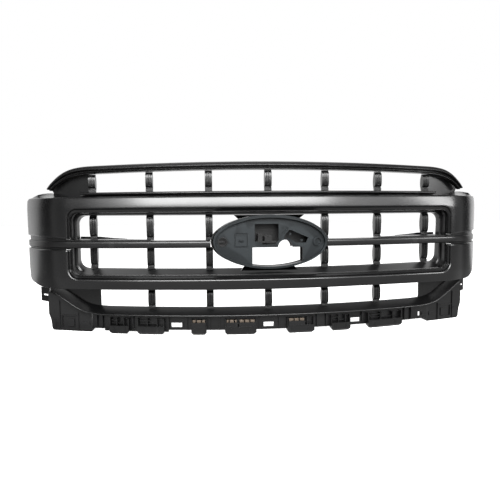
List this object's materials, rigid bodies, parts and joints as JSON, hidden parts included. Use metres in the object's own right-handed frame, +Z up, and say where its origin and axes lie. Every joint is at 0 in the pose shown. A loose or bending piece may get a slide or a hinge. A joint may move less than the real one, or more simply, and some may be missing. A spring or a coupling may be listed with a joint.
{
  "type": "front grille",
  "caption": "Bowed pickup-truck front grille: satin-black wrap-round surround, open insert of bars and struts, empty oval badge carrier and clipped lower apron.",
  "frame": {"origin": "bottom centre of the bounding box: on the middle plane, half-way front to back, level with the undersides of the clip boxes", "axes": "+X to the viewer's right when facing the grille, -Y towards the viewer, which is the vehicle's forward direction, +Z up"},
  "size_m": [1.52, 0.2508, 0.52],
  "materials": {
    "satin_paint": "satin black paint over moulded plastic",
    "moulded_black": "fine-grained moulded black plastic",
    "badge_grey": "smooth slate-grey plastic",
    "clip_metal": "passivated spring steel"
  },
  "bodies": {
    "root": {"apron": "moulded_black", "badge_bridge_bottom": "moulded_black", "badge_bridge_top": "moulded_black", "badge_plate": "badge_grey", "badge_shell": "moulded_black", "badge_socket": "moulded_black", "bottom_rail": "moulded_black", "camera_bracket": "moulded_black", "corner_panel_lower_left": "moulded_black", "corner_panel_lower_right": "moulded_black", "corner_panel_upper_left": "moulded_black", "corner_panel_upper_right": "moulded_black", "end_bracket_left": "moulded_black", "end_bracket_right": "moulded_black", "gusset_left": "moulded_black", "gusset_right": "moulded_black", "liner_left": "moulded_black", "liner_lower": "moulded_black", "liner_right": "moulded_black", "liner_upper": "moulded_black", "lower_cross_rail": "moulded_black", "middle_bar_left": "moulded_black", "middle_bar_right": "moulded_black", "side_tab_left": "moulded_black", "side_tab_right": "moulded_black", "spring_clip_1": "clip_metal", "spring_clip_2": "clip_metal", "spring_clip_3": "clip_metal", "spring_clip_4": "clip_metal", "strut_bottom_2": "moulded_black", "strut_bottom_3": "moulded_black", "strut_bottom_4": "moulded_black", "strut_bottom_5": "moulded_black", "strut_bottom_6": "moulded_black", "strut_mid_lower_1": "moulded_black", "strut_mid_lower_2": "moulded_black", "strut_mid_lower_3": "moulded_black", "strut_mid_lower_5": "moulded_black", "strut_mid_lower_6": "moulded_black", "strut_mid_lower_7": "moulded_black", "strut_mid_upper_1": "moulded_black", "strut_mid_upper_2": "moulded_black", "strut_mid_upper_3": "moulded_black", "strut_mid_upper_5": "moulded_black", "strut_mid_upper_6": "moulded_black", "strut_mid_upper_7": "moulded_black", "strut_top_1": "moulded_black", "strut_top_2": "moulded_black", "strut_top_3": "moulded_black", "strut_top_4": "moulded_black", "strut_top_5": "moulded_black", "strut_top_6": "moulded_black", "strut_top_7": "moulded_black", "surround_lower": "satin_paint", "surround_upper": "satin_paint", "top_rail": "moulded_black", "upper_cross_rail": "moulded_black", "upper_tab_left": "moulded_black", "upper_tab_right": "moulded_black"}
  },
  "joints": []
}
